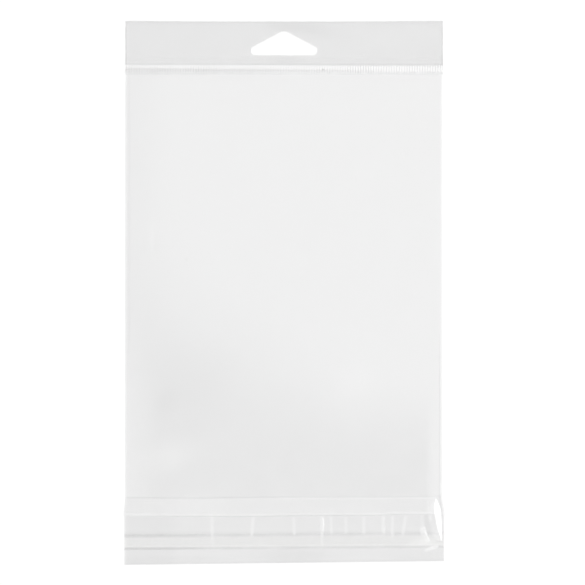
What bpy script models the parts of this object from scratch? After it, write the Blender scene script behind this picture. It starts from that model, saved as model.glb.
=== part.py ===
"""A clear film header bag, empty and unprinted, lying on its back.

Units are metres. +Z is up, +Y runs to the header, -Y to the flap, and X across the bag. The origin
is under the middle of the bag, on the surface that it lies on.

The pouch is one folded sheet of film: back panel, closed end, front panel, hem and flap. The header
strip is a second, heavier film, folded over the pouch's closed end and crimped to it.
"""

import math

import bmesh
import bpy

# Films and tape
FILM = 0.00005
HEADER_FILM = 0.00008
ADHESIVE = 0.0001
LINER_FILM = 0.00005
# The air between pieces that lie on each other
FIT_GAP = 0.0003

# Outline of the flat bag, and how far the hot crimp draws each side of the header in
BAG_WIDTH = 0.1394
CRIMP_SHRINK = 0.00045
HEADER_HEIGHT = 0.0191
SEAL_WIDTH = 0.0045
USABLE_LENGTH = 0.18415
HEM = 0.0078
FLAP_LENGTH = 0.02155
FLAP_SKEW = 0.00165

# Folds, welds and the air in the pocket
FOLD_RISE = 0.0005
HEM_RISE = 0.0004
WELD_BULGE = 0.00015
PUFF = 0.0070
MOUTH_RISE = 0.0060
RISE_LENGTH = 0.045
DRAW_IN = 0.00095
LIFT_LENGTH = 0.006
HEADER_FALL = 0.0012

# Hang hole, a triangle with rounded corners
HOLE_WIDTH = 0.02875
HOLE_FLANK = math.radians(27.8)
HOLE_CORNER_RADIUS = 0.00182
HOLE_APEX_RADIUS = 0.00335
HOLE_ABOVE_POUCH = 0.0042

# Ribs of the crimp seal
RIB_PITCH = 0.00112
RIB_WIDTH = 0.0006
RIB_HEIGHT = 0.00015
RIB_ROOT = 0.00003

# Strips across the flap
STRIP_BELOW_MOUTH = 0.0077
ADHESIVE_WIDTH = 0.0042
LINER_WIDTH = 0.0068

# Puckers in the flap: place across the half width, and height
PUCKERS = (
    (-0.45, 0.0003),
    (-0.20, 0.0004),
    (0.06, 0.0003),
    (0.24, 0.0006),
    (0.30, 0.0004),
    (0.39, 0.0003),
    (0.50, 0.0003),
    (0.62, 0.0004),
    (0.68, 0.0005),
    (0.75, 0.0004),
    (0.87, 0.0007),
)
PUCKER_REACH = 0.0014
PUCKER_START = 0.004
PUCKER_ON_STRIP = 0.4

# Facets
COLUMN = 0.009
ROW = 0.012
FLAP_ROW = 0.003
FINEST = 0.0008
HEADER_COLUMNS = 11
ARC_STEPS = 6

# Places across and along the bag, from the sizes above
HALF_BAG = BAG_WIDTH / 2
HALF_HEADER = HALF_BAG - CRIMP_SHRINK
TOTAL = HEADER_HEIGHT + SEAL_WIDTH + USABLE_LENGTH + HEM + FLAP_LENGTH
Y_TOP = TOTAL / 2
Y_POUCH_END = Y_TOP - HEADER_HEIGHT
Y_SEAL = Y_POUCH_END - SEAL_WIDTH
Y_HEM = Y_SEAL - USABLE_LENGTH
Y_MOUTH = Y_HEM - HEM
Y_STRIP = Y_MOUTH - STRIP_BELOW_MOUTH - LINER_WIDTH / 2

# The layers of film that one section of the pouch or the header runs through
BACK, RIGHT_WELD, FRONT, LEFT_WELD, INNER_HEM = range(5)


def smooth(share):
    """An even ramp from 0 to 1 that starts and ends level."""
    share = min(max(share, 0.0), 1.0)
    return share * share * (3 - 2 * share)


def spread(low, high, step):
    """Even places from low to high, both included, no further apart than step."""
    count = max(1, math.ceil((high - low) / step))
    return [low + (high - low) * k / count for k in range(count + 1)]


def half_width(y):
    """Half the width of the pouch film, drawn in where air lifts the front panel."""
    in_header = HALF_HEADER - HEADER_FILM - FIT_GAP - WELD_BULGE
    if y < Y_HEM:
        return HALF_BAG - DRAW_IN * smooth((y - Y_MOUTH) / HEM)
    to_header = smooth((y - Y_SEAL + LIFT_LENGTH) / LIFT_LENGTH)
    return HALF_BAG - DRAW_IN + (in_header - HALF_BAG + DRAW_IN) * to_header


def pucker(u, y):
    """How far the puckers lift the back film and the flap at a place."""
    strip_top = Y_STRIP + LINER_WIDTH / 2
    flap_end = Y_MOUTH - FLAP_LENGTH
    if y > strip_top:
        share = smooth((Y_MOUTH + PUCKER_START - y) / (2 * PUCKER_START))
    else:
        share = 1 - smooth((strip_top - y) / LINER_WIDTH) * (1 - PUCKER_ON_STRIP)
        share *= min(1.0, (y - flap_end) / (strip_top - LINER_WIDTH - flap_end))
    lift = 0.0
    for place, height in PUCKERS:
        away = abs(u - place) * HALF_BAG
        if away < PUCKER_REACH:
            lift = max(lift, height * (1 + math.cos(math.pi * away / PUCKER_REACH)) / 2)
    return lift * max(share, 0.0)


def back_height(u, y):
    """Outer face of the back panel, which rises onto the header's lower leaf at the seal."""
    onto_header = smooth((y - Y_SEAL + LIFT_LENGTH) / LIFT_LENGTH)
    return pucker(u, y) + (HEADER_FILM + FIT_GAP) * onto_header


def crown(y):
    """How far air lifts the middle of the front panel over its edges."""
    from_seal = (Y_SEAL - y) / RISE_LENGTH
    if from_seal <= 0:
        return 0.0
    if from_seal < 1:
        return PUFF * (1 - (1 - from_seal) ** 2)
    to_mouth = (Y_SEAL - RISE_LENGTH - y) / (Y_SEAL - RISE_LENGTH - Y_MOUTH)
    return PUFF + (MOUTH_RISE - PUFF) * smooth(to_mouth)


def front_height(u, y):
    """Outer face of the front panel: full over the middle, down to the welds at the sides."""
    edge = (HEADER_FILM + FIT_GAP) * smooth((y - Y_SEAL + LIFT_LENGTH) / LIFT_LENGTH) + FOLD_RISE
    return edge + crown(y) * (1 - abs(u) ** 3)


def pouch_place(u, layer, y):
    """A point of the pouch's outer face: u runs from -1 to 1 across the bag."""
    half = half_width(y)
    if layer == BACK:
        return (u * half, y, back_height(u, y))
    if layer == FRONT:
        return (u * half, y, front_height(u, y))
    if layer == INNER_HEM:
        return (u * half, y, front_height(u, y) - HEM_RISE)
    middle = (back_height(u, y) + front_height(u, y)) / 2
    return (u * (half + WELD_BULGE), y, middle)


def header_top(y):
    """Outer face of the header's upper leaf: over the pouch's end, then down to the fold."""
    over_pouch = 2 * HEADER_FILM + 2 * FIT_GAP + FOLD_RISE
    fall = smooth((y - Y_POUCH_END - FIT_GAP) / HEADER_FALL)
    return over_pouch + (FOLD_RISE - over_pouch) * fall


def header_place(u, layer, y):
    """A point of the header strip's outer face."""
    if layer == BACK:
        return (u * (HALF_HEADER - WELD_BULGE), y, 0.0)
    if layer == FRONT:
        return (u * (HALF_HEADER - WELD_BULGE), y, header_top(y))
    return (u * HALF_HEADER, y, header_top(y) / 2)


def columns():
    """Places across the pouch: even ones, and the foot and crest of each pucker."""
    reach = PUCKER_REACH / HALF_BAG
    finest = FINEST / HALF_BAG
    wanted = [place + side * reach for place, _ in PUCKERS for side in (-1, 0, 1)]
    places = []
    for u in sorted(wanted):
        if abs(u) < 1 - finest and (not places or u - places[-1] > finest):
            places.append(u)
    fixed = [-1.0, *places, 1.0]
    across = [-1.0]
    for left, right in zip(fixed, fixed[1:]):
        across += spread(left, right, COLUMN / HALF_BAG)[1:]
    return across


def start_section(bm, across, y, place):
    """The closed loop of film at y: across the back, up one weld, across the front and down."""
    u_of = bm.verts.layers.float.new("across")
    layer_of = bm.verts.layers.int.new("layer")
    loop = [(u, BACK) for u in across]
    loop.append((1.0, RIGHT_WELD))
    loop += [(u, FRONT) for u in reversed(across)]
    loop.append((-1.0, LEFT_WELD))
    verts = []
    for u, layer in loop:
        vert = bm.verts.new(place(u, layer, y))
        vert[u_of] = u
        vert[layer_of] = layer
        verts.append(vert)
    return [bm.edges.new(pair) for pair in zip(verts, verts[1:] + verts[:1])]


def extrude_row(bm, edges, where):
    """Extrude a row of edges, put each new vertex at where(across, layer), and return the row."""
    u_of = bm.verts.layers.float["across"]
    layer_of = bm.verts.layers.int["layer"]
    made = bmesh.ops.extrude_edge_only(bm, edges=edges)["geom"]
    for vert in made:
        if isinstance(vert, bmesh.types.BMVert):
            vert.co = where(vert[u_of], vert[layer_of])
    old = set(edges)
    new_verts = {v for v in made if isinstance(v, bmesh.types.BMVert)}
    return [
        e
        for e in made
        if isinstance(e, bmesh.types.BMEdge) and e not in old and set(e.verts) <= new_verts
    ]


def close_end(bm, edges):
    """Fill the slit between the two leaves of a last section with the fold's own wall."""
    u_of = bm.verts.layers.float["across"]
    layer_of = bm.verts.layers.int["layer"]
    verts = {v for e in edges for v in e.verts}
    leaf = {
        side: sorted((v for v in verts if v[layer_of] == side), key=lambda v: v[u_of])
        for side in (BACK, FRONT)
    }
    for k in range(len(leaf[BACK]) - 1):
        pairs = (leaf[BACK][k], leaf[BACK][k + 1], leaf[FRONT][k + 1], leaf[FRONT][k])
        bm.faces.new(pairs)
    for weld, k in ((LEFT_WELD, 0), (RIGHT_WELD, -1)):
        tip = next(v for v in verts if v[layer_of] == weld)
        bm.faces.new((tip, leaf[BACK][k], leaf[FRONT][k]))


def finish_mesh(bm, name):
    """Turn the faces outwards and make the film's outer face into an object."""
    bmesh.ops.recalc_face_normals(bm, faces=bm.faces)
    mesh = bpy.data.meshes.new(name)
    bm.to_mesh(mesh)
    bm.free()
    mesh.shade_smooth()
    mesh.set_sharp_from_angle(angle=math.radians(35))
    piece = bpy.data.objects.new(name, mesh)
    bpy.context.scene.collection.objects.link(piece)
    return piece


def give_thickness(piece, thickness, offset):
    """Give a sheet its thickness, to the inside of its faces with an offset of -1."""
    solid = piece.modifiers.new("film", "SOLIDIFY")
    solid.thickness = thickness
    solid.offset = offset
    solid.use_even_offset = True
    solid.use_quality_normals = True
    return solid


def clear_film(name, colour, roughness, alpha):
    """A glossy, see-through plastic."""
    material = bpy.data.materials.new(name)
    material.use_nodes = True
    shader = material.node_tree.nodes["Principled BSDF"]
    shader.inputs["Base Color"].default_value = (*colour, 1.0)
    shader.inputs["Roughness"].default_value = roughness
    shader.inputs["Metallic"].default_value = 0.0
    shader.inputs["Alpha"].default_value = alpha
    return material


def pouch_film():
    """The pouch: a folded sheet, welded at both sides, with its hem and its flap."""
    bm = bmesh.new()
    across = columns()
    mouth = start_section(bm, across, Y_MOUTH, pouch_place)
    u_of = bm.verts.layers.float["across"]
    layer_of = bm.verts.layers.int["layer"]

    hem_rows = spread(Y_MOUTH, Y_HEM, HEM / 2)
    rise_start = Y_SEAL - RISE_LENGTH
    rows = hem_rows[1:]
    rows += spread(Y_HEM, rise_start, ROW)[1:]
    rows += spread(rise_start, Y_SEAL - LIFT_LENGTH, ROW)[1:]
    rows += spread(Y_SEAL - LIFT_LENGTH, Y_SEAL, LIFT_LENGTH / 4)[1:]
    rows.append(Y_POUCH_END)
    section = mouth
    for y in rows:
        section = extrude_row(bm, section, lambda u, layer: pouch_place(u, layer, y))
    close_end(bm, section)

    def is_back(edge):
        return all(v[layer_of] == BACK for v in edge.verts)

    def folds_under(edge):
        low = HEM_RISE + 2 * FIT_GAP
        return all(v[layer_of] == FRONT and front_height(v[u_of], Y_MOUTH) > low for v in edge.verts)

    flap = [e for e in mouth if is_back(e)]
    for share in spread(0.0, 1.0, FLAP_ROW / FLAP_LENGTH)[1:]:

        def flap_place(u, layer):
            length = FLAP_LENGTH - FLAP_SKEW * (u + 1) / 2
            y = Y_MOUTH - share * length
            return (u * half_width(y), y, back_height(u, y))

        flap = extrude_row(bm, flap, flap_place)

    hem = [e for e in mouth if folds_under(e)]
    for y in hem_rows:
        hem = extrude_row(bm, hem, lambda u, layer: pouch_place(u, INNER_HEM, y))

    pouch = finish_mesh(bm, "pouch_film")
    give_thickness(pouch, FILM, -1.0)
    pouch.data.materials.append(clear_film("pouch_film", (0.93, 0.93, 0.93), 0.12, 0.15))
    return pouch


def rounded_triangle():
    """Outline of the hang hole from its base's middle, as a list of points."""
    corner_half = HOLE_FLANK / 2
    base_half = HOLE_WIDTH / 2 + HOLE_CORNER_RADIUS * (1 / math.tan(corner_half) - 1)
    peak = base_half * math.tan(HOLE_FLANK)
    apex_sink = HOLE_APEX_RADIUS / math.cos(HOLE_FLANK)
    corner_x = HOLE_WIDTH / 2 - HOLE_CORNER_RADIUS
    quarter = math.pi / 2
    arcs = (
        (corner_x, HOLE_CORNER_RADIUS, HOLE_CORNER_RADIUS, -quarter, quarter - HOLE_FLANK),
        (0.0, peak - apex_sink, HOLE_APEX_RADIUS, quarter - HOLE_FLANK, quarter + HOLE_FLANK),
        (-corner_x, HOLE_CORNER_RADIUS, HOLE_CORNER_RADIUS, quarter + HOLE_FLANK, 3 * quarter),
    )
    points = []
    for x, y, radius, first, last in arcs:
        for k in range(ARC_STEPS + 1):
            turn = first + (last - first) * k / ARC_STEPS
            points.append((x + radius * math.cos(turn), y + radius * math.sin(turn)))
    return points


def tool_object(bm, name):
    """A cutter or a guide, which isn't a piece of the bag."""
    tool = finish_mesh(bm, name)
    tool.hide_render = True
    tool.display_type = "WIRE"
    return tool


def hang_hole():
    """The punch that cuts both leaves of the header."""
    over = 4 * header_top(Y_SEAL)
    base_y = Y_POUCH_END + HOLE_ABOVE_POUCH
    bm = bmesh.new()
    outline = [bm.verts.new((x, base_y + y, -over)) for x, y in rounded_triangle()]
    face = bm.faces.new(outline)
    body = bmesh.ops.extrude_face_region(bm, geom=[face])["geom"]
    top = [v for v in body if isinstance(v, bmesh.types.BMVert)]
    bmesh.ops.translate(bm, verts=top, vec=(0, 0, 2 * over))
    return tool_object(bm, "hang_hole_punch")


def crimp_ribs():
    """The ribs that the hot crimping jaw leaves across the seal."""
    count = int(2 * (HALF_HEADER - RIB_PITCH) / RIB_PITCH)
    low = header_top(Y_SEAL) - RIB_ROOT
    inset = FIT_GAP / 2
    bm = bmesh.new()
    for k in range(count):
        x = (k - (count - 1) / 2) * RIB_PITCH
        foot = (x - RIB_WIDTH / 2, x + RIB_WIDTH / 2)
        profile = ((foot[0], low), (foot[1], low), (x, low + RIB_ROOT + RIB_HEIGHT))
        face = bm.faces.new([bm.verts.new((px, Y_SEAL + inset, pz)) for px, pz in profile])
        body = bmesh.ops.extrude_face_region(bm, geom=[face])["geom"]
        end = [v for v in body if isinstance(v, bmesh.types.BMVert)]
        bmesh.ops.translate(bm, verts=end, vec=(0, SEAL_WIDTH - 2 * inset, 0))
    return tool_object(bm, "crimp_ribs_guide")


def header_strip():
    """The header: a strip folded over at the top edge, punched and crimped."""
    bm = bmesh.new()
    across = [-1 + 2 * k / HEADER_COLUMNS for k in range(HEADER_COLUMNS + 1)]
    section = start_section(bm, across, Y_SEAL, header_place)
    rows = [Y_POUCH_END + FIT_GAP]
    rows += spread(Y_POUCH_END + FIT_GAP, Y_POUCH_END + FIT_GAP + HEADER_FALL, HEADER_FALL / 4)[1:]
    rows.append(Y_TOP)
    for y in rows:
        section = extrude_row(bm, section, lambda u, layer: header_place(u, layer, y))
    close_end(bm, section)
    header = finish_mesh(bm, "header_strip")
    give_thickness(header, HEADER_FILM, -1.0)
    for operation, tool in (("DIFFERENCE", hang_hole()), ("UNION", crimp_ribs())):
        cut = header.modifiers.new(tool.name, "BOOLEAN")
        cut.operation = operation
        cut.solver = "EXACT"
        cut.object = tool
    header.data.materials.append(clear_film("header_strip", (0.90, 0.90, 0.90), 0.15, 0.22))
    return header


def flap_strip(name, width, lift, thickness):
    """A strip that lies across the flap and follows its puckers, lift above the flap's face."""
    bm = bmesh.new()
    u_of = bm.verts.layers.float.new("across")
    layer_of = bm.verts.layers.int.new("layer")

    def place(u, y):
        return (u * half_width(y), y, back_height(u, y) + FILM + lift)

    low_y = Y_STRIP - width / 2
    verts = []
    for u in columns():
        vert = bm.verts.new(place(u, low_y))
        vert[u_of] = u
        vert[layer_of] = BACK
        verts.append(vert)
    row = [bm.edges.new(pair) for pair in zip(verts, verts[1:])]
    for y in spread(low_y, low_y + width, width / 2)[1:]:
        row = extrude_row(bm, row, lambda u, layer: place(u, y))
    strip = finish_mesh(bm, name)
    upward = strip.data.polygons[0].normal.z > 0
    give_thickness(strip, thickness, 1.0 if upward else -1.0)
    return strip


def adhesive_strip():
    """The tape that closes the flap."""
    strip = flap_strip("adhesive_strip", ADHESIVE_WIDTH, FIT_GAP, ADHESIVE)
    strip.data.materials.append(clear_film("adhesive_strip", (0.90, 0.90, 0.88), 0.35, 0.25))
    return strip


def release_liner():
    """The film that covers the tape until the bag is used."""
    lift = FIT_GAP + ADHESIVE + FIT_GAP
    liner = flap_strip("release_liner", LINER_WIDTH, lift, LINER_FILM)
    liner.data.materials.append(clear_film("release_liner", (0.92, 0.92, 0.92), 0.2, 0.15))
    return liner


for leftover in list(bpy.data.objects):
    bpy.data.objects.remove(leftover, do_unlink=True)

bag = bpy.data.objects.new("header_bag", None)
bpy.context.scene.collection.objects.link(bag)
for make in (pouch_film, header_strip, adhesive_strip, release_liner):
    make().parent = bag
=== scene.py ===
# %% [markdown]
# # A clear film header bag
# The bag is one long strip of clear plastic film, folded and welded into a pocket, with a second and
# heavier strip folded over its closed end as a header. It lies flat, empty and unprinted. A bag like
# this has almost no colour of its own: what the eye reads are its welds, folds, ribs and puckers, the
# soft mirror of the studio on its faces, and the little light that each leaf of film keeps back.
#
# The cells below build it piece by piece. Units are metres, +Z is up, +Y runs to the header, -Y to the
# flap and X across the bag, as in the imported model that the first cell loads.

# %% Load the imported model
import math

import bmesh
import bpy
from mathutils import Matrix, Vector, noise


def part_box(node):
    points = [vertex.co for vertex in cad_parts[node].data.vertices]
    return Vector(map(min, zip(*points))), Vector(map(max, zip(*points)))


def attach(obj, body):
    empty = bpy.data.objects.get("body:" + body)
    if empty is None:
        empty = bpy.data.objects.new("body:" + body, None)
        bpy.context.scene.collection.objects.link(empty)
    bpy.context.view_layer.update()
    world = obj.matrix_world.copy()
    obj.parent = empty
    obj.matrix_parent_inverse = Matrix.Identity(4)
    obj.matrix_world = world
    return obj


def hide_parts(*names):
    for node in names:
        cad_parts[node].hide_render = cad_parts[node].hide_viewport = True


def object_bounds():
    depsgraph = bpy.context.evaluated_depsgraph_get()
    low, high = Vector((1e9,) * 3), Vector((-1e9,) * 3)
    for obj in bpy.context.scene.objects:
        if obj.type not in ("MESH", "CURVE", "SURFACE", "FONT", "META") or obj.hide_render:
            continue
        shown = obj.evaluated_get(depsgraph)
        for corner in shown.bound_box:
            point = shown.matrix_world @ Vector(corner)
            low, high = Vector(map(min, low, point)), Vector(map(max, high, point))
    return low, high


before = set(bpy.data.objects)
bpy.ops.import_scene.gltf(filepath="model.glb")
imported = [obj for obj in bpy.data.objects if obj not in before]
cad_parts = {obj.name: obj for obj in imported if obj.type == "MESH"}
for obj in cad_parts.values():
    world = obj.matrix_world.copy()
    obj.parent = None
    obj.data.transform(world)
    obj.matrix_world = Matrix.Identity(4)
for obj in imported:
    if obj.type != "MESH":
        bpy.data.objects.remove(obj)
packed_box = [list(corner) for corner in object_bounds()]
print("nodes:", sorted(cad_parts))

# %% [markdown]
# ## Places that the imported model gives
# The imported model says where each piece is. Reading its boxes, and not typing the places again, keeps
# this script right when a length of the bag changes. Only what no box can tell, such as a film's
# thickness or how far the trapped air lifts the front panel, is written here.

# %% Places and sizes
pouch_low, pouch_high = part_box("pouch_film")
header_low, header_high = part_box("header_strip")
tape_low, tape_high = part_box("adhesive_strip")
liner_low, liner_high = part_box("release_liner")

MM = 0.001
FILM = 0.05 * MM
HEADER_FILM = 0.08 * MM
TAPE = 0.03 * MM
LINER = 0.04 * MM
SEAT = 0.3 * MM

WELD_BULGE = 0.15 * MM
FOLD_RISE = 0.5 * MM
FLAP_LENGTH = 21.55 * MM
FLAP_SKEW = 1.65 * MM
HEM = 7.8 * MM
PUFF = 7.0 * MM
MOUTH_RISE = 6.0 * MM
RISE_LENGTH = 45 * MM
DRAW_IN = 0.95 * MM
LIFT_LENGTH = 6 * MM
HEADER_FALL = 1.2 * MM

HALF_HEADER = header_high.x
HALF_BAG = pouch_high.x - WELD_BULGE
Y_TOP = header_high.y
Y_POUCH_END = pouch_high.y
Y_SEAL = header_low.y
Y_MOUTH = pouch_low.y + FLAP_LENGTH
Y_HEM = Y_MOUTH + HEM
Y_STRIP = (liner_low.y + liner_high.y) / 2
TAPE_WIDTH = tape_high.y - tape_low.y
LINER_WIDTH = liner_high.y - liner_low.y
print("mouth, hem and seal at", [round(y / MM, 1) for y in (Y_MOUTH, Y_HEM, Y_SEAL)], "mm")

# %% [markdown]
# ## Soft steps, stripes and patches
# Nearly every form and shade on film starts and ends softly. Three small functions of a place do for
# all of them: a ramp, a stripe and an oval patch, each from 0 to 1. They serve twice, once to lift the
# film and once to shade it, which is how a pucker and the dark line beside it stay together.

# %% Soft functions
def ramp(share):
    """From 0 to 1, level at both ends."""
    share = min(max(share, 0.0), 1.0)
    return share * share * (3 - 2 * share)


def stripe(value, middle, reach):
    """1 at the middle, 0 from reach outwards."""
    return ramp(1 - abs(value - middle) / reach)


def patch(x, y, middle, reach, turn=0.0):
    """1 in the middle of an oval, 0 outside it. Middle and reach in millimetres, turn in degrees."""
    dx = x / MM - middle[0]
    dy = y / MM - middle[1]
    c = math.cos(math.radians(turn))
    s = math.sin(math.radians(turn))
    out = math.hypot((dx * c + dy * s) / reach[0], (dy * c - dx * s) / reach[1])
    return ramp(1 - out)


def drift(x, y, grain, seed=0.0):
    """Smooth noise between about -1 and 1, with hills of the size grain."""
    return noise.noise(Vector((x / grain, y / grain, seed)))


def spread(low, high, step):
    """Even places from low to high, no further apart than step."""
    count = max(1, math.ceil((high - low) / step - 1e-6))
    return [low + (high - low) * k / count for k in range(count + 1)]


# %% [markdown]
# ## The studio
# The bag was shown on a pure white ground. Here that is a large white floor that also glows a little
# towards the camera, so that it reaches white without more light on the object, and still keeps the
# bag's faint shadow. Film is a weak mirror, so the sky matters more than the lamps: it is darker
# overhead, where a photographer stands, and brighter lower down. A broad lamp on the right, a weaker
# one on the left and one beyond the header stand low enough to miss the flat film and to be caught by
# every rib, pucker and rolled edge.

# %% Floor
FLOOR_COLOUR = 0.5
FLOOR_GLOW = 0.69
FLOOR_HALF = 3.0


def new_tree(material):
    material.use_nodes = True
    material.node_tree.nodes.clear()
    return material.node_tree


def add(tree, kind, operation=None, **inputs):
    """Add a node, and set or link its inputs by name. Spaces in a name are written as _."""
    node = tree.nodes.new(kind)
    if operation:
        node.operation = operation
    for name, value in inputs.items():
        socket = node.inputs[int(name[1:])] if name[1:].isdigit() else node.inputs[name.replace("_", " ")]
        if isinstance(value, bpy.types.NodeSocket):
            tree.links.new(value, socket)
        else:
            socket.default_value = value
    return node


def maths(tree, operation, a, b=0.0):
    return add(tree, "ShaderNodeMath", operation, i0=a, i1=b).outputs[0]


def floor_finish():
    """White paper that glows only for rays that look at it."""
    material = bpy.data.materials.new("white_ground")
    tree = new_tree(material)
    path = add(tree, "ShaderNodeLightPath")
    seen = maths(tree, "MAXIMUM", path.outputs["Is Camera Ray"], path.outputs["Is Glossy Ray"])
    seen = maths(tree, "MAXIMUM", seen, path.outputs["Is Transmission Ray"])
    glow = add(tree, "ShaderNodeEmission", Strength=maths(tree, "MULTIPLY", seen, FLOOR_GLOW))
    paper = add(tree, "ShaderNodeBsdfDiffuse", Color=(FLOOR_COLOUR, FLOOR_COLOUR, FLOOR_COLOUR, 1))
    both = add(tree, "ShaderNodeAddShader", i0=paper.outputs[0], i1=glow.outputs[0])
    add(tree, "ShaderNodeOutputMaterial", Surface=both.outputs[0])
    return material


floor_mesh = bpy.data.meshes.new("floor")
bm = bmesh.new()
bmesh.ops.create_grid(bm, x_segments=1, y_segments=1, size=FLOOR_HALF)
bmesh.ops.translate(bm, verts=bm.verts, vec=(0, 0, packed_box[0][2] - 0.2 * MM))
bm.to_mesh(floor_mesh)
bm.free()
floor = bpy.data.objects.new("floor", floor_mesh)
bpy.context.scene.collection.objects.link(floor)
floor_mesh.materials.append(floor_finish())

# %% Sky
SKY_OVERHEAD = 0.35
SKY_LOW = 0.85

world = bpy.data.worlds.new("studio")
bpy.context.scene.world = world
tree = new_tree(world)
direction = add(tree, "ShaderNodeTexCoord").outputs["Generated"]
height = add(tree, "ShaderNodeSeparateXYZ", Vector=direction).outputs["Z"]
level = tree.nodes.new("ShaderNodeMapRange")
level.interpolation_type = "SMOOTHSTEP"
tree.links.new(height, level.inputs["Value"])
level.inputs["From Min"].default_value = math.cos(math.radians(62))
level.inputs["From Max"].default_value = math.cos(math.radians(32))
level.inputs["To Min"].default_value = SKY_LOW
level.inputs["To Max"].default_value = SKY_OVERHEAD
sky = add(tree, "ShaderNodeBackground", Strength=level.outputs["Result"])
add(tree, "ShaderNodeOutputWorld", Surface=sky.outputs[0])

# %% Lamps
LAMP_DISTANCE = 1.5


def soft_lamp(name, azimuth, from_zenith, across, along, brightness):
    """A panel facing the bag. Azimuth runs from +X to +Y; brightness is what a mirror would show."""
    lamp = bpy.data.lights.new(name, "AREA")
    lamp.shape = "RECTANGLE"
    lamp.size = across
    lamp.size_y = along
    lamp.energy = brightness * math.pi * across * along
    holder = bpy.data.objects.new(name, lamp)
    a = math.radians(azimuth)
    z = math.radians(from_zenith)
    place = Vector((math.sin(z) * math.cos(a), math.sin(z) * math.sin(a), math.cos(z)))
    holder.location = place * LAMP_DISTANCE
    holder.rotation_euler = place.to_track_quat("Z", "Y").to_euler()
    bpy.context.scene.collection.objects.link(holder)
    return holder


soft_lamp("right_panel", 0, 52, 1.2, 0.5, 3.6)
soft_lamp("left_panel", 180, 54, 1.2, 0.45, 1.0)
soft_lamp("far_panel", 90, 56, 1.2, 0.35, 2.4)

# %% [markdown]
# ## The camera
# The bag is seen from straight above. A long lens from well over a metre keeps the lifted front panel
# where it lies. The camera stands a little off the bag's middle, because the bag lies a little to the
# left of the picture's middle.

# %% Camera
PICTURE_WIDTH = 254.8 * MM
PICTURE_MIDDLE = (3.64 * MM, 0.125 * MM)
LENS = 200.0
SENSOR = 36.0

camera_data = bpy.data.cameras.new("camera")
camera_data.type = "PERSP"
camera_data.lens = LENS
camera_data.sensor_width = SENSOR
camera = bpy.data.objects.new("camera", camera_data)
camera.location = (*PICTURE_MIDDLE, PICTURE_WIDTH * LENS / SENSOR)
bpy.context.scene.collection.objects.link(camera)
bpy.context.scene.camera = camera
bpy.context.scene.view_settings.view_transform = "Standard"
bpy.context.scene.cycles.transparent_max_bounces = 24

# %% [markdown]
# ## The finish of clear film
# Film could be made as glass that bends light, but a leaf of 0.05 mm bends nothing that a camera can
# see, and glass costs many rays. It is enough to let light straight through with a Transparent shader,
# to lay a mirror over it as strong as the Fresnel law says, and to add a trace of milky haze. Each leaf
# is a closed solid, so a ray meets two faces. The mirror is kept for the first of them, and its index
# of refraction is set higher than plastic's 1.5, so that it mirrors what both would.
#
# Two numbers painted on the points of each mesh steer it. `clear` is the share of light that a face
# lets through. Besides the film's own small loss, it carries painted shade and painted highlights: dark
# lines at folds, edges and margins, bright bars on the ribs and streaks on the puckers, and broad
# patches of painted reflection. `shine` scales the mirror, because where two films are fused or cling
# together, the faces between them no longer mirror.

# %% Film material
FILM_IOR = 1.78
# Dust in the film: place and size in millimetres, and the share of light that each face lets by
SPECKS = ((17.0, 97.2, 0.40, 0.975), (-42.6, 14.6, 0.42, 0.97), (-23.5, -17.6, 0.5, 0.985))


def specks(tree, place):
    """1 on clean film, less on a speck of dust."""
    clean = None
    flat = add(tree, "ShaderNodeVectorMath", "MULTIPLY", i0=place, i1=(1 / MM, 1 / MM, 0)).outputs[0]
    for x, y, size, kept in SPECKS:
        away = add(tree, "ShaderNodeVectorMath", "DISTANCE", i0=flat, i1=(x, y, 0)).outputs["Value"]
        edge = add(
            tree,
            "ShaderNodeMapRange",
            Value=away,
            From_Min=size * 0.6,
            From_Max=size * 1.3,
            To_Min=kept,
            To_Max=1.0,
        ).outputs["Result"]
        clean = edge if clean is None else maths(tree, "MULTIPLY", clean, edge)
    return clean


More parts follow.
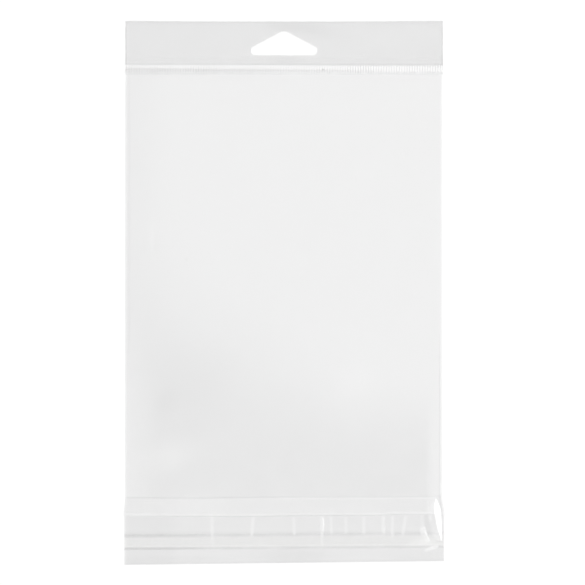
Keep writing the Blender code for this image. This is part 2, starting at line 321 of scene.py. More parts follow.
def film_finish(name, tint, haze, roughness, waviness):
    """Clear film. Haze is the share of a face that is milky, waviness the height of its ripples."""
    material = bpy.data.materials.new(name)
    tree = new_tree(material)
    place = add(tree, "ShaderNodeTexCoord").outputs["Object"]
    clear = add(tree, "ShaderNodeAttribute")
    clear.attribute_name = "clear"
    shine = add(tree, "ShaderNodeAttribute")
    shine.attribute_name = "shine"
    outer = maths(tree, "SUBTRACT", 1.0, add(tree, "ShaderNodeNewGeometry").outputs["Backfacing"])

    ripple = add(tree, "ShaderNodeTexNoise", Vector=place, Scale=90.0, Detail=3.0)
    bump = add(
        tree,
        "ShaderNodeBump",
        Strength=1.0,
        Distance=waviness,
        Height=ripple.outputs["Fac"],
    ).outputs["Normal"]
    smear = add(tree, "ShaderNodeTexNoise", Vector=place, Scale=35.0, Detail=2.0)
    rough = add(
        tree,
        "ShaderNodeMapRange",
        Value=smear.outputs["Fac"],
        From_Min=0.3,
        From_Max=0.7,
        To_Min=roughness * 0.7,
        To_Max=roughness * 1.3,
    ).outputs["Result"]

    # The painted clear share, with its painted shade and highlights, times the dust specks
    passed = maths(tree, "MULTIPLY", clear.outputs["Fac"], specks(tree, place))
    colour = add(tree, "ShaderNodeVectorMath", "SCALE", i0=tint, Scale=passed).outputs[0]
    through = add(tree, "ShaderNodeBsdfTransparent", Color=colour)
    mirror = add(tree, "ShaderNodeBsdfGlossy", Color=(1, 1, 1, 1), Roughness=rough, Normal=bump)
    share = add(tree, "ShaderNodeFresnel", IOR=FILM_IOR, Normal=bump).outputs[0]
    share = maths(tree, "MULTIPLY", share, outer)
    share = maths(tree, "MULTIPLY", share, shine.outputs["Fac"])
    glossy = add(tree, "ShaderNodeMixShader", i0=share, i1=through.outputs[0], i2=mirror.outputs[0])
    milk = add(tree, "ShaderNodeBsdfDiffuse", Color=(0.9, 0.9, 0.9, 1))
    milky = maths(tree, "MULTIPLY", outer, haze)
    film = add(tree, "ShaderNodeMixShader", i0=milky, i1=glossy.outputs[0], i2=milk.outputs[0])
    add(tree, "ShaderNodeOutputMaterial", Surface=film.outputs[0])
    return material


# %% [markdown]
# ## Leaves of film as labelled grids
# A leaf of film is a rectangle with very many small creases, so each leaf starts as one of bmesh's
# grids. The grid is first only a net: every point carries its share across the bag, its height along
# the bag and the leaf that it belongs to. The nets are sewn together with bridges, extrusions and
# merges while they are still flat, and one function then moves every point to its place.

# %% Grids, and from a net to a piece
BACK, FRONT, WELD, TURNED_IN = range(4)


def new_net():
    net = bmesh.new()
    net.verts.layers.float.new("across")
    net.verts.layers.float.new("along")
    net.verts.layers.int.new("leaf")
    return net


def labels(net):
    layers = net.verts.layers
    return layers.float["across"], layers.float["along"], layers.int["leaf"]


def leaf_grid(net, across, along, leaf):
    """A grid with a column at each share across and a row at each height along."""
    u_of, y_of, leaf_of = labels(net)
    columns = len(across) - 1
    rows = len(along) - 1
    made = bmesh.ops.create_grid(net, x_segments=columns, y_segments=rows, size=1.0)["verts"]
    for vert in made:
        vert[u_of] = across[round((vert.co.x + 1) / 2 * columns)]
        vert[y_of] = along[round((vert.co.y + 1) / 2 * rows)]
        vert[leaf_of] = leaf
        vert.co.z = leaf


def row_at(net, leaf, y):
    """The edges of one leaf along height y."""
    u_of, y_of, leaf_of = labels(net)
    on_row = {v for v in net.verts if v[leaf_of] == leaf and abs(v[y_of] - y) < 1e-6}
    return [e for e in net.edges if on_row.issuperset(e.verts)]


def split(net, edges, cuts):
    """Cut edges into even lengths, and give back the points that this adds."""
    made = bmesh.ops.subdivide_edges(net, edges=edges, cuts=cuts)["geom_inner"]
    return [v for v in made if isinstance(v, bmesh.types.BMVert)]


def weld_tube(net, y):
    """Join front and back along both sides and the far end, with a bead of melted film between."""
    u_of, y_of, leaf_of = labels(net)
    mouth = set(row_at(net, FRONT, y) + row_at(net, BACK, y))
    rims = {e for e in net.edges if e.is_boundary and e not in mouth}
    walls = bmesh.ops.bridge_loops(net, edges=list(rims))["faces"]
    struts = [e for e in {e for f in walls for e in f.edges} if e not in rims]
    for vert in split(net, struts, 1):
        vert[leaf_of] = WELD


def paint(mesh, clear, shine, leaf_at=None):
    """Write clear and shine on each point. The leaf is the net's label, or what leaf_at says."""
    if leaf_at:
        leaves = [leaf_at(vert.co) for vert in mesh.vertices]
    else:
        leaves = [label.value for label in mesh.attributes["leaf"].data]
    for name, share in (("clear", clear), ("shine", shine)):
        values = [share(leaf, vert.co.x, vert.co.y) for leaf, vert in zip(leaves, mesh.vertices)]
        mesh.attributes.new(name, "FLOAT", "POINT").data.foreach_set("value", values)


def to_piece(net, name, place, thickness, finish):
    """Move a net's points to their places, and give the film its thickness."""
    u_of, y_of, leaf_of = labels(net)
    for vert in net.verts:
        vert.co = place(vert[leaf_of], vert[u_of], vert[y_of])
    bmesh.ops.remove_doubles(net, verts=net.verts, dist=2e-6)
    bmesh.ops.recalc_face_normals(net, faces=net.faces)
    mesh = bpy.data.meshes.new(name)
    net.to_mesh(mesh)
    net.free()
    mesh.shade_smooth()
    piece = bpy.data.objects.new(name, mesh)
    bpy.context.scene.collection.objects.link(piece)
    solid = piece.modifiers.new("film", "SOLIDIFY")
    solid.thickness = thickness
    solid.offset = -1.0
    solid.use_even_offset = False
    mesh.materials.append(finish)
    return piece


# %% [markdown]
# ## Puckers and buckles
# Where the flap was pulled off its neighbour in the pack, the film keeps short upright puckers. They
# run from under the pocket's lip down to the tape, and the lamps draw them as bright streaks, with a
# painted highlight along each crest as well.
# Each is a low ridge along a line. The lower right corner is buckled: a crest runs down just inside
# the weld, and the film falls from it to the edge in one clean slope, which mirrors the right lamp.

# %% Ridges
# First and last point and reach of each pucker in millimetres, and its height
PUCKERS = (
    ((-31.6, -95.5), (-31.0, -112.0), 1.3, 0.28),
    ((-13.4, -96.0), (-14.2, -107.0), 1.2, 0.34),
    ((4.0, -96.5), (4.6, -106.5), 1.3, 0.26),
    ((16.4, -95.5), (16.6, -112.0), 1.2, 0.42),
    ((20.3, -96.5), (20.7, -106.0), 1.0, 0.28),
    ((26.7, -96.5), (27.1, -105.5), 1.1, 0.24),
    ((34.6, -96.5), (34.8, -106.0), 1.2, 0.30),
    ((42.9, -96.0), (43.3, -106.5), 1.1, 0.36),
    ((47.2, -96.0), (47.0, -108.5), 1.1, 0.30),
    ((53.0, -96.5), (51.4, -107.5), 1.2, 0.32),
    ((60.0, -95.5), (60.4, -107.0), 1.5, 0.36),
    ((59.8, -102.3), (63.2, -109.2), 1.3, 0.95),
    ((60.6, -112.6), (67.4, -110.2), 1.0, 0.90),
)
# Height along the bag, crest and foot of the buckle's slope in millimetres
BUCKLE = (
    (-89.6, 66.2, 66.3),
    (-91.0, 65.8, 66.8),
    (-94.0, 65.1, 68.0),
    (-99.0, 65.9, 68.6),
    (-103.5, 67.0, 68.8),
    (-107.8, 68.3, 68.9),
)
BUCKLE_SLOPE = 0.47
BUCKLE_SLOPE_ON_FRONT = 0.24
BUCKLE_INNER = 4.0
STRIP_STIFFNESS = 0.45
STRIP_SKEW = 0.45 * MM
STRIP_DROP = 0.1 * MM


def strip_line(x):
    """The middle line of tape and liner, which were laid on a little askew."""
    return Y_STRIP - STRIP_DROP + STRIP_SKEW * x / HALF_BAG


def ridge(x, y, first, last, reach, height):
    """Height of a ridge along a line, in metres, at a place in millimetres."""
    along = (last[0] - first[0], last[1] - first[1])
    share = ((x - first[0]) * along[0] + (y - first[1]) * along[1]) / (along[0] ** 2 + along[1] ** 2)
    share = min(max(share, 0.0), 1.0)
    away = math.hypot(x - first[0] - share * along[0], y - first[1] - share * along[1])
    if away >= reach:
        return 0.0
    ends = ramp(share / 0.18) * ramp((1 - share) / 0.18)
    return height * MM * ends * (1 + math.cos(math.pi * away / reach)) / 2


def buckle(x, y, slope):
    """The crest inside the weld at the lower right corner, and the slope that falls from it."""
    for above, below in zip(BUCKLE, BUCKLE[1:]):
        if below[0] <= y <= above[0]:
            share = (above[0] - y) / (above[0] - below[0])
            crest = above[1] + (below[1] - above[1]) * share
            foot = above[2] + (below[2] - above[2]) * share
            if x > crest:
                return slope * max(foot - x, 0.0) * MM
            return slope * (foot - crest) * ramp(1 - (crest - x) / BUCKLE_INNER) * MM
    return 0.0


def pucker(x, y):
    """How far puckers and buckle lift the film at a place in metres."""
    if y > Y_HEM:
        return 0.0
    mx = x / MM
    my = y / MM
    total = sum(ridge(mx, my, *shape) for shape in PUCKERS)
    stiff = ramp((strip_line(x) + LINER_WIDTH / 2 + MM - y) / MM)
    return total * (1 - stiff * (1 - STRIP_STIFFNESS)) + buckle(mx, my, BUCKLE_SLOPE)


def broken_by_puckers(x, y):
    """1 on flat film, 0 on a pucker."""
    return 1 - min(pucker(x, y) / (0.12 * MM), 1.0)


# %% [markdown]
# ## The pouch
# On the real bag one web of film is folded at the closed end, and a hot knife cuts and welds both
# sides in one stroke, which leaves a thin bead down each side. The front leaf's lip is turned in as a
# hem, and the back leaf runs on past the lip as the flap. Here the front and back nets are bridged
# along both sides and the closed end, the bead is a cut through the middle of that bridge, the hem is
# an extrusion of the lip, and the flap is a finer net that is merged to the back leaf.

# %% Form of the pouch
HEM_RISE = 0.15 * MM
LIP_STIFF_ENDS = 14
BODY_ASIDE = -0.23 * MM
WAVE = 0.12 * MM
WAVE_GRAIN = 28 * MM
COLUMN = 1.2 * MM
EDGE_COLUMN = 0.3 * MM
EDGE_SHARE = 0.93
BODY_ROW = 4.0 * MM
FINE_ROW = 0.4 * MM
FLAP_ROW = 0.45 * MM
FLAP_FINER = 3


def half_width(y):
    """Half the pouch's width: in at the header, drawn in by the air along the pocket."""
    in_header = HALF_HEADER - HEADER_FILM - SEAT - WELD_BULGE
    if y < Y_HEM:
        return HALF_BAG - DRAW_IN * ramp((y - Y_MOUTH) / HEM)
    to_header = ramp((y - Y_SEAL + LIFT_LENGTH) / LIFT_LENGTH)
    return HALF_BAG - DRAW_IN + (in_header - HALF_BAG + DRAW_IN) * to_header


def aside(y):
    """Along the pocket the pouch lies a little to the left."""
    return BODY_ASIDE * ramp((y - Y_MOUTH) / HEM) * ramp((Y_SEAL - y) / LIFT_LENGTH)


def from_side(x, y):
    """How far in from the nearer side a place is."""
    return half_width(y) - abs(x - aside(y))


def lip_back(x):
    """The lip isn't quite straight: towards the right it is drawn back in two shallow steps."""
    steps = -0.25 + 0.45 * ramp((x + 22 * MM) / (40 * MM)) + 0.45 * ramp((x - 38 * MM) / (14 * MM))
    return steps * MM * (1 - min(abs(x) / HALF_BAG, 1.0) ** LIP_STIFF_ENDS)


def onto_header(y):
    """The pouch climbs onto the header's lower leaf before the seal."""
    return (HEADER_FILM + SEAT) * ramp((y - Y_SEAL + LIFT_LENGTH) / LIFT_LENGTH)


def crown(y):
    """How far air lifts the middle of the front panel over its edges."""
    from_seal = (Y_SEAL - y) / RISE_LENGTH
    if from_seal <= 0:
        return 0.0
    if from_seal < 1:
        return PUFF * (1 - (1 - from_seal) ** 2)
    to_mouth = (Y_SEAL - RISE_LENGTH - y) / (Y_SEAL - RISE_LENGTH - Y_MOUTH)
    return PUFF + (MOUTH_RISE - PUFF) * ramp(to_mouth)


def back_height(x, y):
    return pucker(x, y) + onto_header(y)


def front_height(x, u, y):
    open_share = 1 - abs(u) ** 3
    waves = WAVE * drift(x, y, WAVE_GRAIN) * min(open_share * 3, 1) * ramp((Y_SEAL - y) / RISE_LENGTH)
    bent = buckle(x / MM, y / MM, BUCKLE_SLOPE_ON_FRONT)
    return onto_header(y) + FOLD_RISE + crown(y) * open_share + waves + bent


def pouch_place(leaf, u, y):
    """Where a point of the pouch's net goes."""
    x = u * half_width(y) + aside(y)
    if y < Y_MOUTH:
        length = FLAP_LENGTH - FLAP_SKEW * (u + 1) / 2
        y = Y_MOUTH - (Y_MOUTH - y) / FLAP_LENGTH * length
    if leaf == BACK:
        return (x, y, back_height(x, y))
    if leaf == WELD:
        middle = (back_height(x, y) + front_height(x, u, y)) / 2
        if y > Y_POUCH_END - MM / 10 and abs(u) < 1:
            return (x, y + WELD_BULGE / 3, middle)
        return (x + math.copysign(WELD_BULGE, u), y, middle)
    drawn = lip_back(u * HALF_BAG) * ramp((Y_SEAL - RISE_LENGTH - y) / RISE_LENGTH)
    top = front_height(x, u, y)
    return (x, y + drawn, top if leaf == FRONT else top - HEM_RISE)


# %% [markdown]
# Shade next. Each number is the share of light that the leaf keeps back, and most of it is painted. The
# pocket is painted clearest at the upper right and darker towards the lower left and the lip: a painted
# reflection and painted shade standing in for the studio's reflection in the gently curved film. The
# flap is painted to keep back as much as both leaves.

# %% Shade of the pouch
POCKET_LOSS = 0.013
DUSK_PAINTED_SHADE = 0.056
HEM_DUSK = 0.1
HEM_LOSS = 0.03
SIDE_PAINTED_SHADE = 0.045
WELD_LOSS = 0.15
FLAP_LOSS = 0.12
# Painted highlight along the crests of the puckers
PUCKER_HIGHLIGHT = 0.04
# Patches of painted shade and painted reflection on the front leaf: middle, reach, turn and the share of
# light kept back, below 0 for a painted highlight
POCKET_PAINTED_PATCHES = (
    ((-43, -40), (36, 33), 0, 0.020),
    ((-50.5, -46.5), (10, 7), 35, 0.018),
    ((-49, -71), (19, 10), 15, -0.034),
    ((64.3, -93), (3, 8), 0, -0.040),
    ((-57.2, 24.6), (1.6, 11), 0, -0.022),
    ((-22, -20), (5, 2.5), 30, -0.012),
    ((-12, -85), (11, 5), 0, 0.012),
    ((48, -84), (16, 4), 0, 0.010),
    ((30, -40), (16, 12), 0, -0.020),
    ((-38, -92), (20, 8), 0, -0.020),
)
# And those of the flap, whose highlights paint the glints at its lower right corner
FLAP_PAINTED_PATCHES = (
    ((61, -108.6), (10, 4), 0, -0.050),
    ((64, -111.0), (3.6, 1.2), 19, -0.060),
    ((63.5, -99.5), (6, 10), 0, 0.060),
    ((4, -114.5), (26, 7), 0, 0.035),
    ((56, -114.5), (20, 6), 0, 0.015),
)


def dusk(x, y):
    """Share of the painted shade: from 0 at the upper right to 1 at the lip and the lower left."""
    edge = 30 * MM - 0.85 * min(max(x + 41 * MM, -15 * MM), 72 * MM)
    edge += 5 * MM * drift(x, y, 22 * MM, 4.0)
    bottom = -84 * MM
    share = (edge - y) / (edge - bottom)
    left_edge = ramp(1 - (x + HALF_BAG) / (17 * MM))
    return ramp(share * 1.15) * ramp((66 * MM - x) / (5 * MM)) * (1 - 0.75 * left_edge)


def raw_edge(x):
    """The turned-in edge runs a little higher at the right."""
    return Y_HEM + (0.05 + 0.6 * ramp((x + 45 * MM) / (45 * MM))) * MM


def pocket_loss(x, y):
    """What the front leaf keeps back over the pocket and the hem: its own small loss, and painted shade and
    highlights.
    """
    under_hem = ramp((raw_edge(x) + 0.3 * MM - y) / (0.6 * MM))
    loss = POCKET_LOSS + DUSK_PAINTED_SHADE * dusk(x, y) * (1 - under_hem * (1 - HEM_DUSK)) + HEM_LOSS * under_hem
    # Painted shade along both sides of the pocket
    loss += SIDE_PAINTED_SHADE * ramp(1 - from_side(x, y) / (0.6 * MM))
    loss += sum(amount * patch(x, y, middle, reach, turn) for middle, reach, turn, amount in POCKET_PAINTED_PATCHES)
    # Painted shade along the left edge of the upper pocket
    from_left = x + HALF_BAG - DRAW_IN
    upper = ramp((y + 50 * MM) / (40 * MM))
    loss += upper * (0.022 * ramp(1 - from_left / (22 * MM)) + 0.022 * stripe(from_left, 1.3 * MM, 0.8 * MM))
    loss += 0.006 * drift(x, y, 9 * MM, 2.0) * dusk(x, y)
    # A thin line of painted shade near the right side, where the film turns down
    shaded_fold_x = 67.8 * MM + 0.8 * MM * ramp((-88 * MM - y) / (9 * MM))
    loss += 0.06 * stripe(x, shaded_fold_x, 0.5 * MM) * ramp((-10 * MM - y) / (30 * MM))
    return loss


def hem_loss(x, y):
    """The hem's painted lines: painted shade along its raw edge inside, a painted highlight just below it,
    and a painted highlight along the fold at the lip.
    """
    edge = raw_edge(x)
    right = ramp((x + 15 * MM) / (30 * MM))
    loss = (0.06 - 0.025 * right) * stripe(y, edge, 0.6 * MM)
    loss -= (0.01 + 0.025 * right) * stripe(y, edge - 0.75 * MM, 0.55 * MM)
    return loss - 0.035 * stripe(y, Y_MOUTH + lip_back(x) + 0.8 * MM, 0.9 * MM)


def flap_loss(x, y):
    """The flap's painted tone: darker overall and at its left, painted shade along its cut end and under the
    liner, painted highlights along the tape and on the puckers.
    """
    loss = FLAP_LOSS + 0.006 * drift(x, y, 6 * MM, 7.0)
    strip = strip_line(x)
    taped = ramp((TAPE_WIDTH / 2 - abs(y - strip)) / (0.4 * MM))
    loss += 0.022 * ramp((-42 * MM - x) / (12 * MM)) * (1 - 0.9 * taped)
    loss -= 0.05 * ramp(1 - from_side(x, y) / (1.8 * MM)) * ramp(-x / MM)
    loss += sum(amount * patch(x, y, middle, reach, turn) for middle, reach, turn, amount in FLAP_PAINTED_PATCHES)
    share = (x / HALF_BAG + 1) / 2
    end = Y_MOUTH - FLAP_LENGTH + FLAP_SKEW * share
    # Painted shade along the flap's cut end
    loss += 0.03 * stripe(y, end + 0.5 * MM, 0.9 * MM)
    loss += 0.02 * stripe(y, end + 2.2 * MM, 2.5 * MM) * ramp((-20 * MM - x) / (20 * MM))
    # Painted shade under the liner's upper margin, broken by the puckers
    loss += 0.035 * stripe(y, strip + LINER_WIDTH / 2 + 0.1 * MM, 1.3 * MM) * broken_by_puckers(x, y)
    # Painted highlights along the tape's two long edges
    loss -= 0.02 * stripe(y, strip + TAPE_WIDTH / 2, 0.6 * MM)
    loss -= 0.04 * stripe(y, strip - TAPE_WIDTH / 2 + 0.2 * MM, 0.6 * MM)
    # A painted highlight along each pucker's crest
    return loss - PUCKER_HIGHLIGHT * min(pucker(x, y) / (0.3 * MM), 1.0)


def face_share(loss):
    """The share that each of a leaf's two faces lets through."""
    return math.sqrt(max(1 - loss, 0.0))


def pouch_clear(leaf, x, y):
    if y > Y_SEAL:
        return 1.0
    if leaf == TURNED_IN:
        return 1.0
    if leaf == BACK and y > Y_HEM:
        return face_share(POCKET_LOSS)
    if leaf == BACK:
        bare = ramp((Y_MOUTH + lip_back(x) + 0.2 * MM - y) / (0.4 * MM))
        return face_share(POCKET_LOSS + (flap_loss(x, y) - POCKET_LOSS) * bare)
    loss = pocket_loss(x, y) + (hem_loss(x, y) if y < Y_HEM + MM else 0.0)
    if leaf == WELD:
        # The weld's bead is painted darker, adding to the sides' painted shade
        loss += WELD_LOSS
    return face_share(loss)


def pouch_shine(leaf, x, y):
    """Fused films don't mirror inside, and the bead of the weld is dull."""
    if y > Y_SEAL or leaf in (WELD, TURNED_IN):
        return 0.0
    return ramp((from_side(x, y) - 0.1 * MM) / (0.5 * MM))


# %% Make the pouch
def pouch_columns():
    """Columns across the pouch, closer together along both sides."""
    side = spread(EDGE_SHARE, 1.0, EDGE_COLUMN / HALF_BAG)
    middle = spread(-EDGE_SHARE, EDGE_SHARE, COLUMN / HALF_BAG)
    return [-u for u in reversed(side)] + middle[1:-1] + side


def pouch_net():
    net = new_net()
    u_of, y_of, leaf_of = labels(net)
    across = pouch_columns()
    along = spread(Y_MOUTH, Y_HEM, FINE_ROW)
    along += spread(Y_HEM, Y_HEM + 4 * FINE_ROW, FINE_ROW)[1:]
    along += spread(Y_HEM + 4 * FINE_ROW, Y_SEAL - LIFT_LENGTH, BODY_ROW)[1:]
    along += spread(Y_SEAL - LIFT_LENGTH, Y_SEAL, 2 * FINE_ROW)[1:]
    along += [Y_SEAL + 0.1 * MM, (Y_SEAL + Y_POUCH_END) / 2, Y_POUCH_END]
    leaf_grid(net, across, along, FRONT)
    leaf_grid(net, across, along, BACK)
    weld_tube(net, Y_MOUTH)

    lip = row_at(net, FRONT, Y_MOUTH)
    for y in [row for row in along if row <= Y_HEM]:
        made = bmesh.ops.extrude_edge_only(net, edges=lip)["geom"]
        new_verts = {v for v in made if isinstance(v, bmesh.types.BMVert)}
        for vert in new_verts:
            vert[y_of] = y
            vert[leaf_of] = TURNED_IN
        lip = [e for e in made if isinstance(e, bmesh.types.BMEdge) and new_verts.issuperset(e.verts)]

    for vert in split(net, row_at(net, BACK, Y_MOUTH), FLAP_FINER - 1):
        vert[y_of] = Y_MOUTH
        vert[leaf_of] = BACK
    pairs = zip(across, across[1:])
    finer = [a + (b - a) * k / FLAP_FINER for a, b in pairs for k in range(FLAP_FINER)] + [1.0]
    leaf_grid(net, finer, spread(Y_MOUTH - FLAP_LENGTH, Y_MOUTH, FLAP_ROW), BACK)
    return net


POUCH_FINISH = film_finish("pouch_film", (1.0, 1.0, 1.0), 0.006, 0.09, 0.006 * MM)
pouch = to_piece(pouch_net(), "clear_pouch", pouch_place, FILM, POUCH_FINISH)
paint(pouch.data, pouch_clear, pouch_shine)
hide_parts("pouch_film")
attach(pouch, "root")
print("pouch:", len(pouch.data.vertices), "points before it has thickness")

# %% [markdown]
# ## The header
# The ribs' bright and dark bars are also painted on the upper leaf, as painted highlights and painted shade.
# The header is a heavier film, folded along its top over the pouch's closed end. A toothed hot jaw
# crimps both of its leaves to the pouch, which leaves a band of fine upright ribs 1.12 mm apart. The
# ribs are real waves in the mesh, because a bump would give a mirror nothing to catch at the side.
# The hang hole is the hull of three circles, punched through both leaves.

# %% Form of the header
RIB_PITCH = 1.12 * MM
RIB_HEIGHT = 0.2 * MM
POINTS_PER_RIB = 6
TOP_BOW = 0.3 * MM
HOLE_WIDTH = 28.75 * MM
HOLE_FLANK = math.radians(27.8)
HOLE_CORNER_RADIUS = 1.82 * MM
HOLE_APEX_RADIUS = 3.35 * MM
HOLE_ABOVE_POUCH = 4.2 * MM


def header_top(y):
    """Height of the upper leaf: over the pouch's end, then down to lie on the lower leaf."""
    over_pouch = 2 * HEADER_FILM + 2 * SEAT + FOLD_RISE
    fall = ramp((y - Y_POUCH_END - SEAT) / HEADER_FALL)
    return over_pouch + (FOLD_RISE - over_pouch) * fall


def rib_depth(x, y):
    """The crimp's depth: full under the jaw, weaker at the left, and fading out rib by rib below."""
    fade = ramp((y - Y_SEAL - 0.6 * MM) / (1.4 * MM))
    below = 0.35 + 0.5 * drift(x, 0.0, 2.6 * MM, 8.0)
    jaw = ramp((Y_POUCH_END + 0.1 * MM - y) / (0.5 * MM)) * (fade + (1 - fade) * max(below, 0.0))
    return jaw * (0.8 + 0.2 * ramp((x + 20 * MM) / (60 * MM)) + 0.25 * drift(x, y, 14 * MM, 9.0))


def rib(x, y):
    """The crimp's waves."""
    return RIB_HEIGHT * rib_depth(x, y) * (1 + math.cos(2 * math.pi * x / RIB_PITCH)) / 2


def header_place(leaf, u, y):
    x = u * (HALF_HEADER - (0 if leaf == WELD else WELD_BULGE))
    bow = TOP_BOW * (1 - u * u) * ramp((y - Y_POUCH_END) / (Y_TOP - Y_POUCH_END))
    wave = 0.06 * MM * (1 + drift(x, y, 16 * MM, 5.0)) * ramp((y - Y_POUCH_END) / (4 * MM))
    if leaf == WELD:
        return (x, y - bow, header_top(y) / 2)
    if leaf == BACK:
        return (x, y - bow, rib(x, y))
    return (x, y - bow, header_top(y) + rib(x, y) + wave)


def hole_outline(punch):
    """Three circles, and the hull around them."""
    corner_half = HOLE_FLANK / 2
    base_half = HOLE_WIDTH / 2 + HOLE_CORNER_RADIUS * (1 / math.tan(corner_half) - 1)
    peak = base_half * math.tan(HOLE_FLANK)
    apex_y = peak - HOLE_APEX_RADIUS / math.cos(HOLE_FLANK)
    corner_x = HOLE_WIDTH / 2 - HOLE_CORNER_RADIUS
    base_y = Y_POUCH_END + HOLE_ABOVE_POUCH
    circles = (
        (corner_x, base_y + HOLE_CORNER_RADIUS, HOLE_CORNER_RADIUS),
        (-corner_x, base_y + HOLE_CORNER_RADIUS, HOLE_CORNER_RADIUS),
        (0.0, base_y + apex_y, HOLE_APEX_RADIUS),
    )
    for x, y, radius in circles:
        ring = bmesh.ops.create_circle(punch, segments=64, radius=radius)["verts"]
        bmesh.ops.translate(punch, verts=ring, vec=(x, y, 0))


def punch_through(piece):
    """Cut the hang hole through both leaves and keep the result as the piece's own mesh."""
    punch = bmesh.new()
    hole_outline(punch)
    over = 4 * MM
    for vert in list(punch.verts):
        punch.verts.new((vert.co.x, vert.co.y, over))
        vert.co.z = -over
    hull = bmesh.ops.convex_hull(punch, input=punch.verts)
    bmesh.ops.delete(punch, geom=list({*hull["geom_interior"], *hull["geom_unused"]}), context="VERTS")
    bmesh.ops.recalc_face_normals(punch, faces=punch.faces)
    mesh = bpy.data.meshes.new("hole_punch")
    punch.to_mesh(mesh)
    punch.free()
    tool = bpy.data.objects.new("hole_punch", mesh)
    bpy.context.scene.collection.objects.link(tool)
    cut = piece.modifiers.new("hang_hole", "BOOLEAN")
    cut.operation = "DIFFERENCE"
    cut.solver = "EXACT"
    cut.object = tool
    evaluated = piece.evaluated_get(bpy.context.evaluated_depsgraph_get())
    punched = bpy.data.meshes.new_from_object(evaluated)
    piece.modifiers.clear()
    piece.data = punched
    bpy.data.objects.remove(tool)


# %% Shade of the header
HEADER_LOSS = 0.046
RIB_PAINTED_SHADE = 0.13
SEAL_SHINE = 0.1
HEADER_PATCHES = (
    ((12, 114.5), (24, 5), -8, 0.030),
    ((0, 115.5), (16, 3), 0, 0.030),
    ((0, 101.5), (13, 3), 0, 0.022),
    ((-66, 107), (5, 9), 0, 0.008),
    ((66, 104), (12, 8), 0, 0.010),
)


def seal_painted_shade(x, y):
    """Painted shade and highlights of the crimp: bright ribs in a band that slants a little, darker above
    and below it.
    """
    band = Y_POUCH_END - 1.3 * MM - 0.5 * MM * x / HALF_BAG
    right = ramp((x - 15 * MM) / (40 * MM))
    above = (0.04 + 0.06 * ramp((x + 30 * MM) / (30 * MM))) * ramp((y - band - 0.5 * MM) / (0.6 * MM))
    tail = ramp((Y_SEAL + 1.5 * MM - y) / (0.6 * MM))
    below = (0.12 - 0.08 * right) * (1 - tail) + 0.11 * tail
    below *= ramp((band - 0.5 * MM - y) / (0.9 * MM))
    # Painted shade on one flank of each rib, so that the crests read as painted highlights
    flank = 0.5 - 0.5 * math.sin(2 * math.pi * x / RIB_PITCH)
    dull = 0.01 + 0.025 * ramp((5 * MM - x) / (30 * MM)) + 0.015 * ramp((-50 * MM - x) / (6 * MM))
    return above + below + dull + RIB_PAINTED_SHADE * flank * rib_depth(x, y)


def header_clear(leaf, x, y):
    """The upper leaf carries the header's painted shade, and the lower leaf its even loss."""
    # A dark line of painted shade at the jaw's upper edge
    jaw_line = 0.08 * stripe(y, Y_POUCH_END, 0.5 * MM)
    if y < Y_POUCH_END:
        return face_share(seal_painted_shade(x, y) + jaw_line) if leaf == FRONT else 1.0
    if leaf == BACK:
        return face_share(HEADER_LOSS)
    loss = HEADER_LOSS
    loss += sum(amount * patch(x, y, middle, reach, turn) for middle, reach, turn, amount in HEADER_PATCHES)
    # Painted shade along the top fold, darker towards the top, and at the sides
    loss += 0.025 * stripe(y, Y_TOP - 0.7 * MM, 1.0 * MM)
    loss += 0.018 * ramp((y - Y_TOP + 4 * MM) / (3.5 * MM))
    loss += 0.07 * stripe(abs(x), HALF_HEADER - 0.3 * MM, 0.8 * MM) * ramp((Y_TOP - 1.5 * MM - y) / (2 * MM))
    # The jaw line again, and a band of painted shade where the upper leaf falls from the pouch's end
    loss += 0.9 * jaw_line + 0.11 * (1 - header_shine(leaf, x, y))
    return face_share(loss + 0.004 * drift(x, y, 9 * MM, 3.0))


def header_shine(leaf, x, y):
    """In the seal all the leaves are fused, and the jaw has left the top face frosted."""
    if y > Y_POUCH_END:
        return SEAL_SHINE + (1 - SEAL_SHINE) * ramp((y - Y_POUCH_END - SEAT - HEADER_FALL) / (0.8 * MM))
    return SEAL_SHINE if leaf == FRONT else 0.0


def header_leaf(place):
    """Points that the punch added have no label, so a point's leaf is told by its height."""
    return FRONT if place.z > header_top(place.y) / 2 else BACK


# %% Make the header
def header_net():
    net = new_net()
    ribs = round(2 * HALF_HEADER / RIB_PITCH)
    across = spread(-1.0, 1.0, 2 / (ribs * POINTS_PER_RIB))
    along = spread(Y_SEAL, Y_POUCH_END - 0.6 * MM, 0.5 * MM)
    along += spread(Y_POUCH_END - 0.6 * MM, Y_POUCH_END + 0.6 * MM, 0.2 * MM)[1:]
    along += spread(Y_POUCH_END + 0.6 * MM, Y_POUCH_END + SEAT + HEADER_FALL, 0.3 * MM)[1:]
    along += spread(Y_POUCH_END + SEAT + HEADER_FALL, Y_TOP - 2 * MM, 2.6 * MM)[1:]
    along += spread(Y_TOP - 2 * MM, Y_TOP, 0.6 * MM)[1:]
    leaf_grid(net, across, along, FRONT)
    leaf_grid(net, across, along, BACK)
    weld_tube(net, Y_SEAL)
    return net


HEADER_FINISH = film_finish("header_film", (1.0, 1.0, 1.0), 0.008, 0.2, 0.006 * MM)
header = to_piece(header_net(), "folded_header", header_place, HEADER_FILM, HEADER_FINISH)
punch_through(header)
paint(header.data, header_clear, header_shine, header_leaf)
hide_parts("header_strip")
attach(header, "root")
print("header:", len(header.data.polygons), "faces, with its hole")

# %% [markdown]
# ## The tape and its liner
# A strip of tape lies across the flap, and a wider clear liner covers it until the bag is used. Where
# the liner sticks to the tape, the two read as one pale band. Its free margins stand off the film; the
# two dark lines along them are painted shade on the liner and the flap, and each pucker breaks them.

# %% Form and shade of the strips
STRIP_COLUMN = 0.35 * MM
TAPE_LIFT = FILM + 0.05 * MM
LINER_LIFT = TAPE_LIFT + TAPE + 0.05 * MM


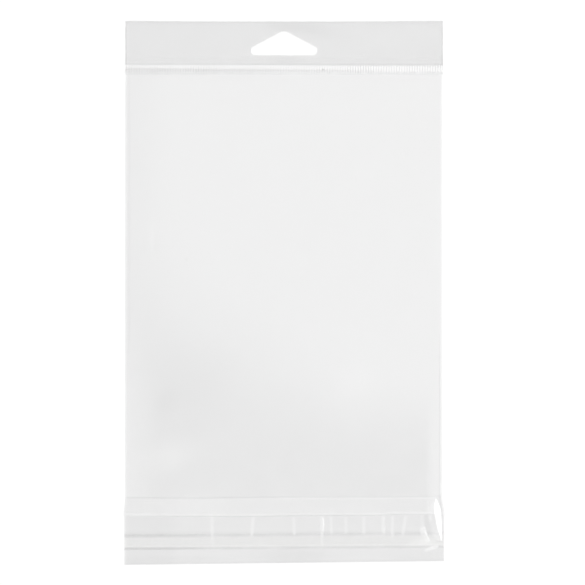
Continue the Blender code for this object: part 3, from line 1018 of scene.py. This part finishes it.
def strip_net(width, row):
    net = new_net()
    across = spread(-1.0, 1.0, STRIP_COLUMN / HALF_BAG)
    leaf_grid(net, across, spread(Y_STRIP - width / 2, Y_STRIP + width / 2, row), FRONT)
    return net


def on_flap(lift):
    """A place function for a strip that follows the flap, lift above its face."""

    def place(leaf, u, y):
        x = u * half_width(Y_MOUTH - MM)
        y += strip_line(x) - Y_STRIP
        return (x, y, back_height(x, y) + lift)

    return place


def liner_margin_painted_shade(leaf, x, y):
    """Painted shade along the free margins of the liner: darker to the left, and broken by the puckers at
    the right.
    """
    strip = strip_line(x)
    upper = min(1.5 * stripe(y, strip + LINER_WIDTH / 2 - 0.6 * MM, 1.4 * MM), 1.0)
    lower = stripe(y, strip - LINER_WIDTH / 2 + 0.5 * MM, 0.9 * MM)
    left = ramp((-28 * MM - x) / (14 * MM))
    patchy = 0.65 + 0.7 * drift(x, y, 9 * MM, 6.0)
    loss = upper * (0.05 + 0.012 * left) * (1 if left > 0.5 else patchy)
    loss += lower * (0.065 + 0.055 * left) * (1 if left > 0.5 else patchy)
    return face_share(loss * broken_by_puckers(x, y))


def tape_clear(leaf, x, y):
    """The tape lets all light through; the pale lines along its edges are painted highlights on the flap."""
    return 1.0


def tape_shine(leaf, x, y):
    return 0.0


def liner_shine(leaf, x, y):
    """The liner mirrors where it stands free, and hardly where it sticks to the tape."""
    free = ramp((abs(y - strip_line(x)) - TAPE_WIDTH / 2 + 0.2 * MM) / (0.4 * MM))
    return 0.1 + 0.5 * free


# %% Make the strips
TAPE_FINISH = film_finish("adhesive", (1.0, 1.0, 0.998), 0.006, 0.25, 0.004 * MM)
LINER_FINISH = film_finish("liner_film", (1.0, 1.0, 1.0), 0.004, 0.10, 0.006 * MM)
tape = to_piece(strip_net(TAPE_WIDTH, 0.7 * MM), "flap_adhesive", on_flap(TAPE_LIFT), TAPE, TAPE_FINISH)
paint(tape.data, tape_clear, tape_shine)
liner = to_piece(strip_net(LINER_WIDTH, 0.4 * MM), "flap_liner", on_flap(LINER_LIFT), LINER, LINER_FINISH)
paint(liner.data, liner_margin_painted_shade, liner_shine)
for piece, node, slot in ((tape, "adhesive_strip", "adhesive"), (liner, "release_liner", "liner_film")):
    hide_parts(node)
    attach(piece, "root")

# %% [markdown]
# ## Sizes, and the end
# The dressed bag has to stay the size of the imported one. The imported model's box is printed.

# %% Write the sizes and finish
print("packed box", packed_box)
